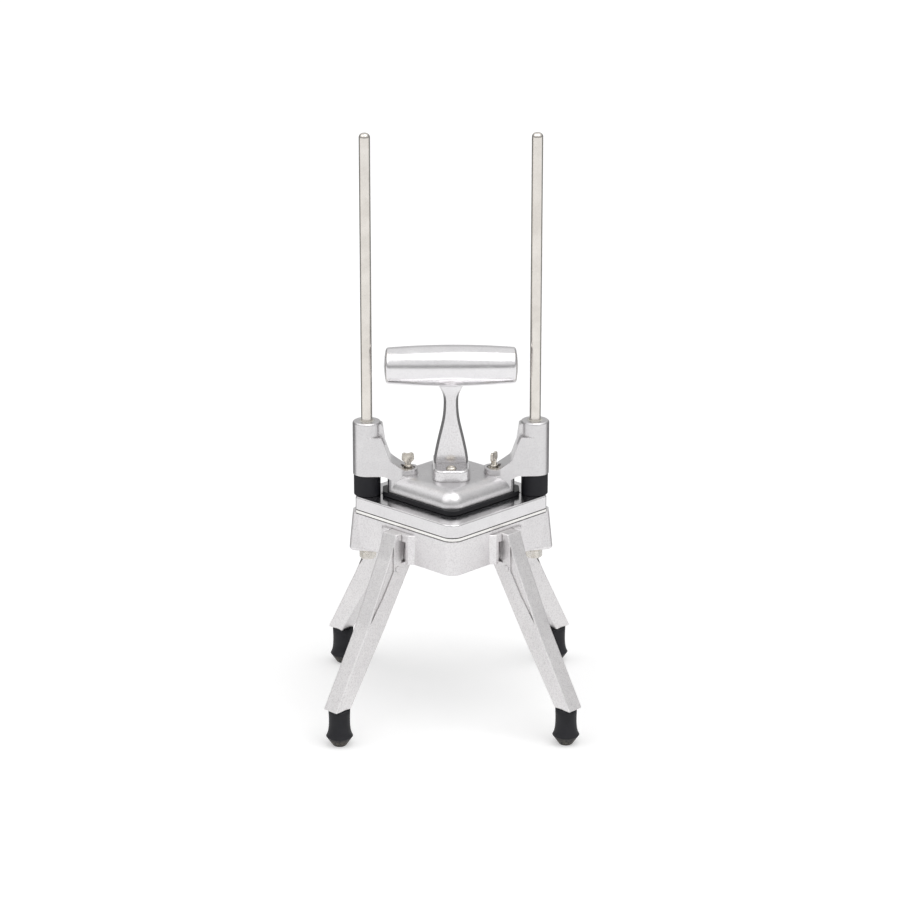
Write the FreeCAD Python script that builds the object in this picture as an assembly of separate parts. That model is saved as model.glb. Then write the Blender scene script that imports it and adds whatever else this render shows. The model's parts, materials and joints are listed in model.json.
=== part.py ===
import FreeCAD, Part
import math
import os

from FreeCAD import Vector

# A push-down french fry cutter on four splayed legs.
# Millimetres. X runs to the right through both guide rods, Y to the back, Z up.
# The origin is on the floor, under the middle of the cutter.
# The casting, the blade frame and the pusher are squares turned 45 degrees about Z.
# Names that end in Z or X are places, and the others are sizes or steps from a neighbour.

# Driving sizes: the cutting square, the rods and the height of the base over the floor
CUT_OPENING = 89.0
CELLS_PER_SIDE = 9
ROD_SPACING = 150.0
ROD_RADIUS = 5.0
ROD_ABOVE_FRAME = 329.0
SKIRT_BOTTOM_Z = 155.0

# Play between pieces
STUD_HOLE_GAP = 0.3
RUNNING_GAP = 0.06
FIT_GAP = 0.05
BORE_MARGIN = 1.0

# Guide rods
ROD_TIP_ROUND = 4.0
STUD_RADIUS = 4.0
STUD_OVERHANG = 1.2
STUD_CHAMFER = 0.8

# Base casting
BASE_HEIGHT = 31.0
DECK_THICKNESS = 7.0
SEAM_CHAMFER = 0.7
SEAM_INSET = 1.0
SEAM_END_INSET = 1.4
BASE_LEDGE = 0.4
BASE_DRAFT = 0.8
BASE_CORNER_RADIUS = 10.0
BASE_END_REACH = 12.0
BASE_END_RADIUS = 1.0
SKIRT_WALL = 5.0
CAVITY_END_RADIUS = 3.0
THROAT_EASE = 2.0
THROAT_RADIUS = 2.0
THROAT_COLLAR_WALL = 3.5
THROAT_COLLAR_RADIUS = 4.0
THROAT_COLLAR_DROP = 14.0
WING_DROP = 4.0
WING_REACH = 13.0
WING_DRAFT = 3.4
WING_HALF_TOP = 8.5
WING_HALF_BOTTOM = 12.5
WING_FLARE = 8.0
WING_ROOT_INSET = 15.0
WING_CAVITY_INSET = 17.0
WING_CORNER_RADIUS = 5.0
WING_EDGE_ROUND = 2.5

# Leg sockets in the middle of each side of the base
SOCKET_PROUD = 4.6
SOCKET_SINK = 0.6
SOCKET_ROOT = 3.0
SOCKET_CHEEK_OUTER = 21.0
SOCKET_CHEEK_FACE = 16.2
SOCKET_CHEEK_RADIUS = 1.0
SOCKET_SLOT_HALF = 13.0
SOCKET_TOP_DROP = 4.0
SOCKET_ROOF = 7.0
SOCKET_ROUND = 1.2

# Blade frame, clamping plate and blade grid
FRAME_TIP_REACH = 18.62
FRAME_CORNER_RADIUS = 12.0
FRAME_END_REACH = 10.4
FRAME_END_RADIUS = 2.5
FRAME_EDGE_ROUND = 1.6
FRAME_HEIGHT = 12.6
OPENING_RADIUS = 1.0
BLADE_PLATE_THICKNESS = 2.4
BLADE_PLATE_PROUD = 0.2
BLADE_PLATE_END_PROUD = 0.3
BLADE_THICKNESS = 0.6
BLADE_HEIGHT = 5.9
BLADE_SOCKET_DEPTH = 8.0
BLADE_SLOT_GAP = 0.1
BLADE_BEVEL = 1.1

# Rubber bumpers on the rods
BUMPER_RADIUS = 12.0
BUMPER_HEIGHT = 19.4
BUMPER_EDGE = 0.8
BUMPER_GAP = 0.2

# Nuts and washers under the wings
WASHER_RADIUS = 9.0
WASHER_THICKNESS = 1.6
LOCK_WASHER_RADIUS = 6.8
LOCK_WASHER_THICKNESS = 2.0
LOCK_WASHER_SPLIT = 1.4
NUT_FLATS = 13.0
NUT_HEIGHT = 6.9
NUT_CHAMFER = 0.8
CHAMFER_SLOPE = 1.6

# Pusher head: a deep cap with one big round all along its top edge, arms and sleeves
BOSS_RADIUS = 12.7
BOSS_HEIGHT = 49.1
BOSS_EDGE_ROUND = 2.0
BUSH_WALL = 1.8
BUSH_LENGTH = 15.0
CAP_STEP = 2.0
CAP_CORNER_RADIUS = 14.5
CAP_END_STEP = 4.5
CAP_END_RADIUS = 5.0
CAP_HEIGHT = 15.2
CAP_EDGE_ROUND = 13.5
CAP_WALL = 6.0
CAP_ROOF = 7.0
CAP_CAVITY_RADIUS = 6.0
CAP_CAVITY_END = 8.0
SCREW_BOSS_RADIUS = 7.0
ARM_HEIGHT = 35.9
ARM_INNER_GAP = 0.3
ARM_NOSE_REACH = 5.5
ARM_NOSE_ROUND = 5.0
ARM_NOSE_TAPER = 0.86
ARM_ROOT_REACH = 16.5
ARM_ROOT_DROP = 10.6
ARM_HEEL_REACH = 2.3
ARM_HEEL_ROUND = 9.0
ARM_TOE_REACH = 10.2
ARM_TOE_DROP = 8.0
ARM_TOE_ROUND = 7.0
ARM_SWEEP_LOW_REACH = 11.1
ARM_SWEEP_LOW_RISE = 8.0
ARM_SWEEP_LOW_ROUND = 6.0
ARM_SWEEP_MID_REACH = 2.7
ARM_SWEEP_MID_RISE = 14.0
ARM_SWEEP_MID_ROUND = 8.0
ARM_SWEEP_TOP_REACH = 1.1
ARM_SWEEP_TOP_RISE = 25.0
ARM_SWEEP_TOP_ROUND = 24.0
ARM_TOP_ROUND = 1.5
RIB_HALF_WIDTH = 6.0
RIB_TOP_DROP = 2.2
RIB_FOOT_DROP = 8.0
RIB_TOP_REACH = 14.0
RIB_FOOT_REACH = 16.6
RIB_TOP_ROUND = 2.5

# Thumb screws that hold the pusher block
THUMB_INSET = 36.5
THUMB_BOSS_HEIGHT = 5.1
THUMB_BOSS_RADIUS = 8.6
THUMB_BOSS_ROUND = 0.8
THUMB_SPOT_RADIUS = 6.5
THUMB_SPOT_DEPTH = 1.2
THUMB_SHANK_RADIUS = 2.5
THUMB_HOLE_GAP = 0.35
THUMB_COLLAR_RADIUS = 3.9
THUMB_COLLAR_HEIGHT = 2.6
THUMB_COLLAR_ROUND = 0.8
THUMB_NECK_LOW_RADIUS = 2.75
THUMB_NECK_TOP_RADIUS = 1.76
THUMB_NECK_HEIGHT = 3.4
THUMB_LOBE_ROOT = 2.2
THUMB_LOBE_ROOT_WIDTH = 4.7
THUMB_LOBE_LOW = 1.4
THUMB_LOBE_DIP = 1.5
THUMB_LOBE_ROUND = 2.2
THUMB_WING_WIDTH = 11.2
THUMB_WING_TOP_WIDTH = 10.3
THUMB_WING_HEIGHT = 8.4
THUMB_WING_THICKNESS = 2.2
THUMB_WING_ROUND = 0.5
THUMB_LEFT_TURN = 6.0
THUMB_RIGHT_TURN = 62.0
THUMB_WASHER_RADIUS = 5.2
THUMB_WASHER_THICKNESS = 1.0
INSERT_RADIUS = 4.0
INSERT_FLOOR = 0.8
INSERT_BASE = 0.6
INSERT_END_GAP = 0.4

# Pusher block
BLOCK_MARGIN = 4.0
BLOCK_CORNER_RADIUS = 10.0
BLOCK_BUMPER_GAP = 1.8
BLOCK_END_RADIUS = 4.0
BLOCK_THICKNESS = 4.0
BLOCK_LIFT = 0.4
FINGER_REACH = 16.5
FINGER_SIDE_GAP = 0.65
FINGER_TAPER = 0.35

# T-handle
BARREL_RISE = 89.6
BARREL_HALF_LENGTH = 59.6
BARREL_MID_RADIUS = 18.5
BARREL_END_RADIUS = 16.2
BARREL_END_DOME = 2.2
BARREL_END_ROUND = 3.0
FOOT_HALF_X = 16.5
FOOT_HALF_Y = 29.0
FOOT_HEIGHT = 10.0
FOOT_ROUND = 9.0
FOOT_EDGE_ROUND = 1.8
FOOT_DRAFT = 0.8
STEM_HALF_THICKNESS = 5.2
STEM_FLANK_DRAFT = 2.2
STEM_FOOT_INSET = 0.4
STEM_FOOT_SINK = 1.5
HANDLE_SCREW_Y = 19.7
HANDLE_SCREW_RADIUS = 3.0
HANDLE_SCREW_HEAD_RADIUS = 4.65
HANDLE_SCREW_HEAD_HEIGHT = 2.9
HANDLE_SCREW_RIM = 0.7
HANDLE_SCREW_GAP = 0.3
HANDLE_SCREW_DEPTH = 10.6
HANDLE_SCREW_END_GAP = 0.5

# The stem's width at heights above the handle's foot
STEM_WIDTHS = ((80.6, 34.0), (70.0, 21.6), (63.4, 14.6), (54.4, 13.0), (44.9, 14.2), (35.4, 17.6), (26.4, 21.9),
               (17.1, 26.0), (8.2, 29.4))

# Legs: reaches are outward from the base's side
LEG_HALF_WIDTH = 8.5
LEG_BOTTOM_Z = 34.5
LEG_EDGE_ROUND = 1.3
LEG_TOP_REACH = 11.0
LEG_TOP_ROUND = 0.8
LEG_KNEE_REACH = 18.2
LEG_KNEE_DROP = 20.0
LEG_KNEE_RADIUS = 30.0
LEG_BEND_REACH = 48.4
LEG_BEND_Z = 100.5
LEG_BEND_RADIUS = 180.0
LEG_TOE_REACH = 86.6
LEG_TOE_ROUND = 0.6
LEG_HEEL_REACH = 68.6
LEG_SHIN_REACH = 29.4
LEG_SHIN_Z = 93.0
LEG_PIT_INSET = 4.9
LEG_PIT_DROP = 7.4
LEG_SHOULDER_INSET = 9.2
LEG_RECESS_DEPTH = 1.1
LEG_RECESS_RIM = 1.2
LEG_RECESS_TOP_DROP = 10.0
LEG_RECESS_TIP_Z = 107.0
LEG_RECESS_SHIN_REACH = 28.4
LEG_RECESS_SHIN_Z = 127.0
LEG_RECESS_PIT_REACH = 14.4
LEG_RECESS_PIT_Z = 149.0
LEG_RECESS_BACK_Z = 160.0
LEG_TENON_HALF = 5.5
LEG_TENON_TOP_REACH = 0.8
LEG_TENON_BOTTOM_REACH = 5.8
LEG_BUMP_REACH = 9.9
LEG_BUMP_Z = 150.5
LEG_BUMP_RADIUS = 2.6
LEG_BUMP_PROUD = 0.7
LEG_SCREW_DROP = 20.0
LEG_SCREW_RADIUS = 3.0
LEG_SCREW_HEAD_FLATS = 10.0
LEG_SCREW_HEAD_HEIGHT = 4.0
LEG_SCREW_HEAD_CHAMFER = 0.6
LEG_SCREW_REACH = 12.0
LEG_SCREW_END_GAP = 2.5
LEG_SCREW_GAP = 0.3
LEG_WASHER_RADIUS = 5.6
LEG_WASHER_THICKNESS = 1.6

# Feet
FOOT_REACH = 75.1
PEG_RADIUS = 5.0
PEG_LENGTH = 20.0
PEG_SINK = 4.0
PEG_CHAMFER = 1.0
RUBBER_TOP_RADIUS = 9.7
RUBBER_WAIST_RADIUS = 9.4
RUBBER_WAIST_Z = 23.0
RUBBER_FLARE_RADIUS = 12.0
RUBBER_FLARE_Z = 9.0
RUBBER_TREAD_RADIUS = 5.2
RUBBER_BELLY_RADIUS = 9.84
RUBBER_BELLY_Z = 3.78

# Places worked out from the sizes above
ROOT_TWO = math.sqrt(2.0)
UP = Vector(0, 0, 1)
OUT = Vector(1, 0, 0)
ORIGIN = Vector(0, 0, 0)
NEAR = 0.01

ROD_X = ROD_SPACING / 2
OPENING_HALF = CUT_OPENING / 2
CELL_PITCH = CUT_OPENING / CELLS_PER_SIDE
DECK_TOP_Z = SKIRT_BOTTOM_Z + BASE_HEIGHT
DECK_BOTTOM_Z = DECK_TOP_Z - DECK_THICKNESS
WING_BOTTOM_Z = SKIRT_BOTTOM_Z - WING_DROP
BLADE_PLATE_TOP_Z = DECK_TOP_Z + BLADE_PLATE_THICKNESS
FRAME_TOP_Z = BLADE_PLATE_TOP_Z + FRAME_HEIGHT
ROD_TOP_Z = FRAME_TOP_Z + ROD_ABOVE_FRAME
LOWER_BLADE_Z = BLADE_PLATE_TOP_Z
UPPER_BLADE_Z = LOWER_BLADE_Z + BLADE_HEIGHT

FRAME_SIDE = (ROD_X + FRAME_TIP_REACH) / ROOT_TWO
FRAME_END = ROD_X + FRAME_END_REACH
BASE_SIDE_TOP = FRAME_SIDE + BASE_LEDGE
BASE_SIDE_BOTTOM = BASE_SIDE_TOP + BASE_DRAFT
BASE_END_TOP = ROD_X + BASE_END_REACH
BASE_END_BOTTOM = BASE_END_TOP + 2 * BASE_DRAFT
SKIRT_INSIDE = BASE_SIDE_BOTTOM - SKIRT_WALL
THROAT_HALF = OPENING_HALF + THROAT_EASE
WING_END_TOP = ROD_X + WING_REACH
WING_END_BOTTOM = WING_END_TOP + WING_DRAFT
WING_ROOT_X = ROD_X - WING_ROOT_INSET
WING_CAVITY_X = ROD_X - WING_CAVITY_INSET
SOCKET_FACE = BASE_SIDE_TOP + SOCKET_PROUD
SOCKET_BACK = BASE_SIDE_TOP - SOCKET_SINK
SOCKET_TOP_Z = DECK_TOP_Z - SOCKET_TOP_DROP
LEG_SCREW_Z = DECK_TOP_Z - LEG_SCREW_DROP
FOOT_R = BASE_SIDE_TOP + FOOT_REACH

BLOCK_SIDE = OPENING_HALF + BLOCK_MARGIN
BLOCK_END = ROD_X - BUMPER_RADIUS - BLOCK_BUMPER_GAP
BLOCK_BOTTOM_Z = FRAME_TOP_Z + BLOCK_LIFT
BLOCK_TOP_Z = BLOCK_BOTTOM_Z + BLOCK_THICKNESS
CAP_SIDE = BLOCK_SIDE - CAP_STEP
CAP_END = BLOCK_END - CAP_END_STEP
CAP_TOP_Z = BLOCK_TOP_Z + CAP_HEIGHT
BOSS_BOTTOM_Z = FRAME_TOP_Z + BUMPER_HEIGHT + BUMPER_GAP
BOSS_TOP_Z = BOSS_BOTTOM_Z + BOSS_HEIGHT
ARM_TOP_Z = BOSS_BOTTOM_Z + ARM_HEIGHT
ARM_INNER_X = ROD_X - BOSS_RADIUS - ARM_INNER_GAP
BUSH_RADIUS = ROD_RADIUS + RUNNING_GAP + BUSH_WALL
THUMB_X = ROD_X - THUMB_INSET
THUMB_SEAT_Z = CAP_TOP_Z + THUMB_BOSS_HEIGHT
INSERT_BOTTOM_Z = BLOCK_BOTTOM_Z + INSERT_FLOOR
THUMB_SHANK_END_Z = INSERT_BOTTOM_Z + INSERT_BASE + INSERT_END_GAP
FOOT_TOP_Z = CAP_TOP_Z + FOOT_HEIGHT
BARREL_Z = FOOT_TOP_Z + BARREL_RISE
HANDLE_SCREW_END_Z = CAP_TOP_Z - HANDLE_SCREW_DEPTH

SIDES = (("front_left", 225.0), ("front_right", 315.0), ("rear_right", 45.0), ("rear_left", 135.0))


def rounded_wire(corners, place):
    """A closed wire through (u, v, radius) corners, placed in space by place(u, v)."""
    count = len(corners)
    edges = []
    starts = []
    ends = []
    mids = []
    for i in range(count):
        u, v, radius = corners[i]
        pu, pv, _ = corners[i - 1]
        nu, nv, _ = corners[(i + 1) % count]
        here = Vector(u, v, 0)
        back = (Vector(pu, pv, 0) - here).normalize()
        ahead = (Vector(nu, nv, 0) - here).normalize()
        if radius <= 0:
            starts.append(here)
            ends.append(here)
            mids.append(None)
            continue
        half_turn = back.getAngle(ahead) / 2
        setback = radius / math.tan(half_turn)
        centre = here + (back + ahead).normalize() * (radius / math.sin(half_turn))
        starts.append(here + back * setback)
        ends.append(here + ahead * setback)
        mids.append(centre + (here - centre).normalize() * radius)
    for i in range(count):
        if mids[i] is not None:
            arc = Part.Arc(place(starts[i]), place(mids[i]), place(ends[i]))
            edges.append(arc.toShape())
        following = starts[(i + 1) % count]
        if (following - ends[i]).Length > 1e-6:
            edges.append(Part.makeLine(place(ends[i]), place(following)))
    return Part.Wire(edges)


def flat(z):
    return lambda p: Vector(p.x, p.y, z)


def upright(y):
    return lambda p: Vector(p.x, y, p.y)


def prism(wire, direction):
    return Part.Face(wire).extrude(direction)


def tube(radius, z0, z1, x=0.0, y=0.0):
    return Part.makeCylinder(radius, z1 - z0, Vector(x, y, z0), UP)


def bore(radius, z0, z1, x=0.0, y=0.0):
    """A cutter for an upright hole that runs past both ends."""
    return tube(radius, z0 - BORE_MARGIN, z1 + BORE_MARGIN, x, y)


def diamond(side, corner, end, end_corner):
    """Corners of a square turned 45 degrees, with its left and right tips cut off at x = end."""
    tip = side * ROOT_TWO
    half = tip - end
    return [(0, -tip, corner), (end, -half, end_corner), (end, half, end_corner),
            (0, tip, corner), (-end, half, end_corner), (-end, -half, end_corner)]


def square(half, corner):
    """Corners of a square turned 45 degrees, whole."""
    tip = half * ROOT_TWO
    return [(0, -tip, corner), (tip, 0, corner), (0, tip, corner), (-tip, 0, corner)]


def slab(corners, z0, z1):
    return prism(rounded_wire(corners, flat(z0)), Vector(0, 0, z1 - z0))


def turned(shape, angle):
    copy = shape.copy()
    copy.rotate(ORIGIN, UP, angle)
    return copy


def mirrored_x(shape):
    return shape.mirror(ORIGIN, OUT)


def edges_at(shape, z):
    """Edges that lie wholly at one height."""
    found = []
    for edge in shape.Edges:
        box = edge.BoundBox
        if abs(box.ZMin - z) < NEAR and abs(box.ZMax - z) < NEAR:
            found.append(edge)
    return found


def hexagon(flats, z0, z1, x=0.0, y=0.0, chamfer=0.0):
    radius = flats / math.sqrt(3.0)
    corners = []
    for i in range(6):
        angle = math.radians(60 * i)
        corners.append((x + radius * math.cos(angle), y + radius * math.sin(angle), 0))
    solid = slab(corners, z0, z1)
    if chamfer > 0:
        cone = Part.makeCone(radius - chamfer, radius - chamfer + (z1 - z0) * CHAMFER_SLOPE, z1 - z0, Vector(x, y, z0), UP)
        solid = solid.common(cone)
    return solid


def cleaned(shape):
    """One solid with its split faces joined again."""
    joined = shape.removeSplitter()
    return joined.Solids[0] if len(joined.Solids) == 1 else joined


def save(name, shapes):
    solids = []
    for shape in shapes:
        solids.extend(shape.Solids)
    body = solids[0] if len(solids) == 1 else Part.makeCompound(solids)
    if not body.isValid():
        print("not valid:", name)
    body.exportStep("parts/" + name + ".step")
    print(name, len(solids), "solid(s)", round(sum(s.Volume for s in solids)), "mm3")


# Base casting: a hollow skirt under a flat deck, a wing round each rod and a socket on each side
def wing_outline(end, half):
    root_half = half + WING_FLARE
    return [(WING_ROOT_X, -root_half, 0), (end, -half, WING_CORNER_RADIUS), (end, half, WING_CORNER_RADIUS),
            (WING_ROOT_X, root_half, 0)]


def base_wing():
    wires = [rounded_wire(wing_outline(WING_END_BOTTOM, WING_HALF_BOTTOM), flat(WING_BOTTOM_Z)),
             rounded_wire(wing_outline(WING_END_TOP, WING_HALF_TOP), flat(DECK_TOP_Z - SEAM_CHAMFER))]
    wing = Part.makeLoft(wires, True, True)
    rim = [e for e in edges_at(wing, WING_BOTTOM_Z) if e.BoundBox.XMax > WING_ROOT_X + NEAR]
    return wing.makeFillet(WING_EDGE_ROUND, rim)


def socket_block():
    """The bump-out that holds one leg, made on the +X side and turned to its place later."""
    root = BASE_SIDE_TOP - SOCKET_ROOT
    outline = [(root, -SOCKET_CHEEK_OUTER, 0), (BASE_SIDE_TOP, -SOCKET_CHEEK_OUTER, 0),
               (SOCKET_FACE, -SOCKET_CHEEK_FACE, SOCKET_CHEEK_RADIUS),
               (SOCKET_FACE, SOCKET_CHEEK_FACE, SOCKET_CHEEK_RADIUS),
               (BASE_SIDE_TOP, SOCKET_CHEEK_OUTER, 0), (root, SOCKET_CHEEK_OUTER, 0)]
    block = slab(outline, SKIRT_BOTTOM_Z, SOCKET_TOP_Z)
    rim = [e for e in edges_at(block, SOCKET_TOP_Z) if e.BoundBox.XMax > BASE_SIDE_TOP + NEAR]
    return block.makeFillet(SOCKET_ROUND, rim)


def socket_cut():
    """The slot in the bump-out: open at the bottom, narrower under its roof."""
    depth = SOCKET_FACE - SOCKET_BACK + BORE_MARGIN
    slot_top = SOCKET_TOP_Z - SOCKET_ROOF
    wide = Part.makeBox(depth, 2 * SOCKET_SLOT_HALF, slot_top - WING_BOTTOM_Z,
                        Vector(SOCKET_BACK, -SOCKET_SLOT_HALF, WING_BOTTOM_Z))
    notch_half = LEG_HALF_WIDTH + FIT_GAP
    notch = Part.makeBox(depth, 2 * notch_half, SOCKET_TOP_Z - slot_top,
                         Vector(SOCKET_BACK, -notch_half, slot_top))
    return wide.fuse(notch)


def base_casting():
    chamfered_top = DECK_TOP_Z - SEAM_CHAMFER
    low = rounded_wire(diamond(BASE_SIDE_BOTTOM, BASE_CORNER_RADIUS, BASE_END_BOTTOM, BASE_END_RADIUS),
                       flat(SKIRT_BOTTOM_Z))
    high = rounded_wire(diamond(BASE_SIDE_TOP, BASE_CORNER_RADIUS, BASE_END_TOP, BASE_END_RADIUS),
                        flat(chamfered_top))
    top = rounded_wire(diamond(BASE_SIDE_TOP - SEAM_INSET, BASE_CORNER_RADIUS, BASE_END_TOP - SEAM_END_INSET,
                               BASE_END_RADIUS), flat(DECK_TOP_Z))
    body = Part.makeLoft([low, high], True, True).fuse(Part.makeLoft([high, top], True, True))
    for wing in (base_wing(), mirrored_x(base_wing())):
        body = body.fuse(wing)
    for _, angle in SIDES:
        body = body.fuse(turned(socket_block(), angle))

    cavity = slab(diamond(SKIRT_INSIDE, BASE_CORNER_RADIUS - SKIRT_WALL, WING_CAVITY_X, CAVITY_END_RADIUS),
                  WING_BOTTOM_Z - BORE_MARGIN, DECK_BOTTOM_Z)
    collar_half = THROAT_HALF + THROAT_COLLAR_WALL
    collar = slab(square(collar_half, THROAT_COLLAR_RADIUS), DECK_BOTTOM_Z - THROAT_COLLAR_DROP, DECK_TOP_Z)
    body = body.cut(cavity.cut(collar))
    body = body.cut(slab(square(THROAT_HALF, THROAT_RADIUS), WING_BOTTOM_Z - BORE_MARGIN, DECK_TOP_Z + BORE_MARGIN))
    for _, angle in SIDES:
        body = body.cut(turned(socket_cut(), angle))
        screw_hole = Part.makeCylinder(LEG_SCREW_RADIUS + LEG_SCREW_GAP, SOCKET_BACK,
                                       Vector(collar_half + BORE_MARGIN, 0, LEG_SCREW_Z), OUT)
        body = body.cut(turned(screw_hole, angle))
    for x in (-ROD_X, ROD_X):
        body = body.cut(bore(STUD_RADIUS + STUD_HOLE_GAP, WING_BOTTOM_Z, DECK_TOP_Z, x))
    return cleaned(body)


# Blade frame, the thin clamping plate under it and the two crossing sets of blades
def plate_outline():
    return diamond(FRAME_SIDE + BLADE_PLATE_PROUD, FRAME_CORNER_RADIUS, FRAME_END + BLADE_PLATE_END_PROUD,
                   FRAME_END_RADIUS)


def blade_plate():
    plate = slab(plate_outline(), DECK_TOP_Z, BLADE_PLATE_TOP_Z)
    plate = plate.cut(slab(square(OPENING_HALF, OPENING_RADIUS), WING_BOTTOM_Z, FRAME_TOP_Z))
    for x in (-ROD_X, ROD_X):
        plate = plate.cut(bore(STUD_RADIUS + STUD_HOLE_GAP, DECK_TOP_Z, BLADE_PLATE_TOP_Z, x))
    return cleaned(plate)


def blade_offsets():
    return [(i + 1) * CELL_PITCH - OPENING_HALF for i in range(CELLS_PER_SIDE - 1)]


def bar_along(angle, offset, half_length, thickness, z0, z1):
    """A thin upright bar across the opening, parallel to one side."""
    bar = Part.makeBox(2 * half_length, thickness, z1 - z0, Vector(-half_length, offset - thickness / 2, z0))
    return turned(bar, angle)


def blade(angle, offset, z0):
    """One strip blade with a ground upper edge."""
    half_length = OPENING_HALF + BLADE_SOCKET_DEPTH - BLADE_SLOT_GAP
    half = BLADE_THICKNESS / 2
    z1 = z0 + BLADE_HEIGHT
    section = [(offset - half, z0, 0), (offset + half, z0, 0), (offset + half, z1 - BLADE_BEVEL, 0),
               (offset + half / 3, z1, 0), (offset - half / 3, z1, 0), (offset - half, z1 - BLADE_BEVEL, 0)]
    wire = rounded_wire(section, lambda p: Vector(-half_length, p.x, p.y))
    return turned(prism(wire, Vector(2 * half_length, 0, 0)), angle)


def upper_frame():
    outline = diamond(FRAME_SIDE, FRAME_CORNER_RADIUS, FRAME_END, FRAME_END_RADIUS)
    inset = diamond(FRAME_SIDE - SEAM_CHAMFER, FRAME_CORNER_RADIUS, FRAME_END - SEAM_CHAMFER, FRAME_END_RADIUS)
    seam_z = BLADE_PLATE_TOP_Z + SEAM_CHAMFER
    body = slab(outline, seam_z, FRAME_TOP_Z)
    body = body.makeFillet(FRAME_EDGE_ROUND, edges_at(body, FRAME_TOP_Z))
    foot = Part.makeLoft([rounded_wire(inset, flat(BLADE_PLATE_TOP_Z)), rounded_wire(outline, flat(seam_z))],
                         True, True)
    body = body.fuse(foot)
    body = body.cut(slab(square(OPENING_HALF, OPENING_RADIUS), DECK_TOP_Z, FRAME_TOP_Z + BORE_MARGIN))
    slot = BLADE_THICKNESS + 2 * BLADE_SLOT_GAP
    reach = OPENING_HALF + BLADE_SOCKET_DEPTH
    cutters = []
    for offset in blade_offsets():
        cutters.append(bar_along(45, offset, reach, slot, DECK_TOP_Z, UPPER_BLADE_Z + BLADE_SLOT_GAP))
        cutters.append(bar_along(-45, offset, reach, slot, DECK_TOP_Z, UPPER_BLADE_Z + BLADE_HEIGHT + BLADE_SLOT_GAP))
    body = body.cut(Part.makeCompound(cutters))
    for x in (-ROD_X, ROD_X):
        body = body.cut(bore(STUD_RADIUS + STUD_HOLE_GAP, BLADE_PLATE_TOP_Z, FRAME_TOP_Z, x))
    return cleaned(body)


# Guide rods with their shoulders on the frame, and the hardware that clamps the stack
def rod_end_z():
    return WING_BOTTOM_Z - WASHER_THICKNESS - LOCK_WASHER_THICKNESS - NUT_HEIGHT - STUD_OVERHANG


def guide_rod(x):
    rod = tube(ROD_RADIUS, FRAME_TOP_Z, ROD_TOP_Z, x)
    rod = rod.makeFillet(ROD_TIP_ROUND, edges_at(rod, ROD_TOP_Z))
    stud = tube(STUD_RADIUS, rod_end_z(), FRAME_TOP_Z, x)
    stud = stud.makeChamfer(STUD_CHAMFER, edges_at(stud, rod_end_z()))
    return cleaned(rod.fuse(stud))


def rod_washer(x):
    top = WING_BOTTOM_Z
    return tube(WASHER_RADIUS, top - WASHER_THICKNESS, top, x).cut(
        bore(STUD_RADIUS + STUD_HOLE_GAP, top - WASHER_THICKNESS, top, x))


def rod_lock_washer(x):
    """A ring with a gap cut through one side."""
    top = WING_BOTTOM_Z - WASHER_THICKNESS
    bottom = top - LOCK_WASHER_THICKNESS
    ring = tube(LOCK_WASHER_RADIUS, bottom, top, x).cut(bore(STUD_RADIUS + FIT_GAP, bottom, top, x))
    split = Part.makeBox(LOCK_WASHER_RADIUS, LOCK_WASHER_SPLIT, LOCK_WASHER_THICKNESS,
                         Vector(x, -LOCK_WASHER_SPLIT / 2, bottom))
    return ring.cut(split)


def rod_nut(x):
    top = WING_BOTTOM_Z - WASHER_THICKNESS - LOCK_WASHER_THICKNESS
    nut = hexagon(NUT_FLATS, top - NUT_HEIGHT, top, x, 0.0, NUT_CHAMFER)
    return nut.cut(bore(STUD_RADIUS + FIT_GAP, top - NUT_HEIGHT, top, x))


def bumper(x):
    body = tube(BUMPER_RADIUS, FRAME_TOP_Z, FRAME_TOP_Z + BUMPER_HEIGHT, x)
    rims = edges_at(body, FRAME_TOP_Z) + edges_at(body, FRAME_TOP_Z + BUMPER_HEIGHT)
    body = body.makeFillet(BUMPER_EDGE, rims)
    return body.cut(bore(ROD_RADIUS + FIT_GAP, FRAME_TOP_Z, FRAME_TOP_Z + BUMPER_HEIGHT, x))


# Legs, made along +X in their own upright plane and turned to each side
def outward(reach):
    """A radial place, given how far it lies outside the base's side."""
    return BASE_SIDE_TOP + reach


def leg_face_r(z):
    """Radial place of the leg's outer face at a height, with its bends taken as sharp."""
    face = ((LEG_TOP_REACH, SOCKET_TOP_Z), (LEG_KNEE_REACH, SOCKET_TOP_Z - LEG_KNEE_DROP),
            (LEG_BEND_REACH, LEG_BEND_Z), (LEG_TOE_REACH, LEG_BOTTOM_Z))
    for (r0, z0), (r1, z1) in zip(face, face[1:]):
        if z >= z1:
            return outward(r0 + (r1 - r0) * (z0 - z) / (z0 - z1))
    return outward(LEG_TOE_REACH)


def leg_plate(corners, sign, depth):
    """A flat piece of the given depth, cut into one flank of the leg."""
    return prism(rounded_wire(corners, upright(sign * LEG_HALF_WIDTH)), Vector(0, -sign * depth, 0))


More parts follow.
